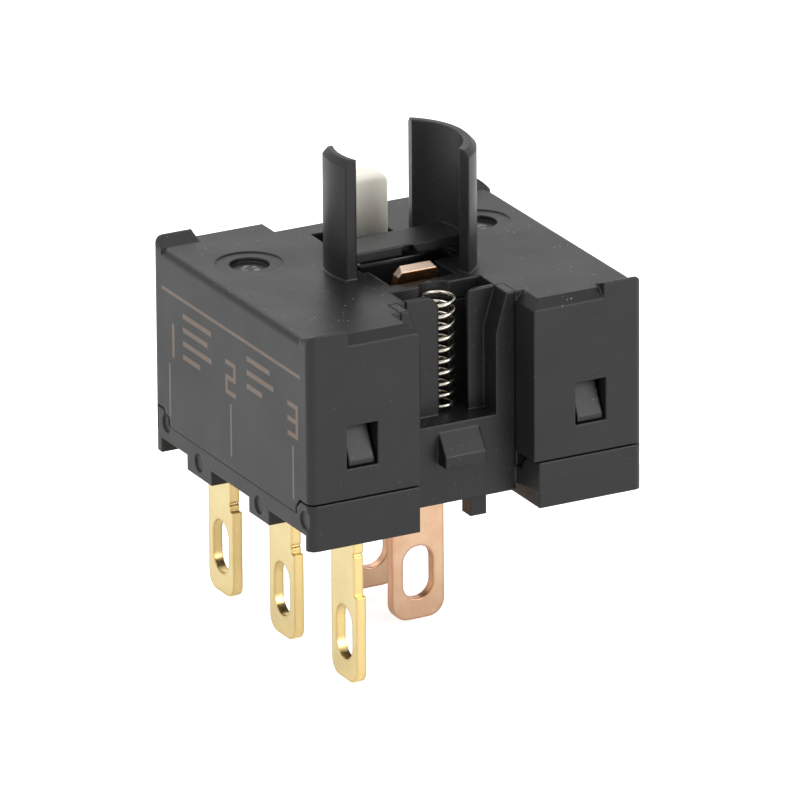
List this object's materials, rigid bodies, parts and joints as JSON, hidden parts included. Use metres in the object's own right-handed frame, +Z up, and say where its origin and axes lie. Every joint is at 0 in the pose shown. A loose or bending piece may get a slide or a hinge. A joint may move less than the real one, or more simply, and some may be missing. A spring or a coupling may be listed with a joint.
{
  "type": "illuminated push button switch",
  "caption": "Switch block of an illuminated push button: curved lamp-holder walls, sprung plunger, spring pocket and solder tabs",
  "frame": {"origin": "centre of the footprint, level with the tips of the solder tabs", "axes": "+Z up out of the panel, -Y towards the open spring pocket, -X towards the three switch contacts"},
  "size_m": [0.018, 0.0164, 0.0241],
  "materials": {
    "housing_black": "satin moulded thermoplastic",
    "plunger_white": "ivory moulded plastic",
    "spring_nickel": "bright plated wire",
    "tab_gold": "pale gold plate",
    "tab_copper": "rose copper alloy",
    "contact_silver": "silver alloy"
  },
  "bodies": {
    "housing": {"base": "housing_black", "cover": "housing_black", "common_terminal": "tab_gold", "normally_open_terminal": "tab_gold", "normally_closed_terminal": "tab_gold", "normally_open_contact": "contact_silver", "normally_closed_contact": "contact_silver", "front_lamp_terminal": "tab_copper", "rear_lamp_terminal": "tab_copper", "button_return_spring": "spring_nickel", "plunger_return_spring": "spring_nickel"},
    "plunger": {"plunger": "plunger_white"},
    "contact_arm": {"contact_arm": "tab_copper", "moving_contact": "contact_silver"},
    "snap_spring": {"snap_spring": "spring_nickel"}
  },
  "joints": [
    {"name": "plunger_slide", "type": "slide", "parent": "housing", "child": "plunger", "axis": [0, 0, -1], "range_m": [0, 0.0025], "stiffness_N_per_m": 400, "springref_m": -0.0005, "deforming": ["plunger_return_spring"]},
    {"name": "contact_arm_hinge", "type": "hinge", "parent": "housing", "child": "contact_arm", "pos_m": [-0.00545, 0.0056, 0.013], "axis": [1, 0, 0], "range_deg": [0, 3.2]},
    {"name": "snap_spring_swing", "type": "hinge", "parent": "contact_arm", "child": "snap_spring", "pos_m": [-0.0054, -0.0022, 0.013], "axis": [1, 0, 0], "range_deg": [-21.2, 0]}
  ],
  "couplings": [
    {"joint": "contact_arm_hinge", "follows": "plunger_slide", "rad_per_m": 21.4},
    {"joint": "snap_spring_swing", "follows": "plunger_slide", "rad_per_m": -146.09}
  ]
}
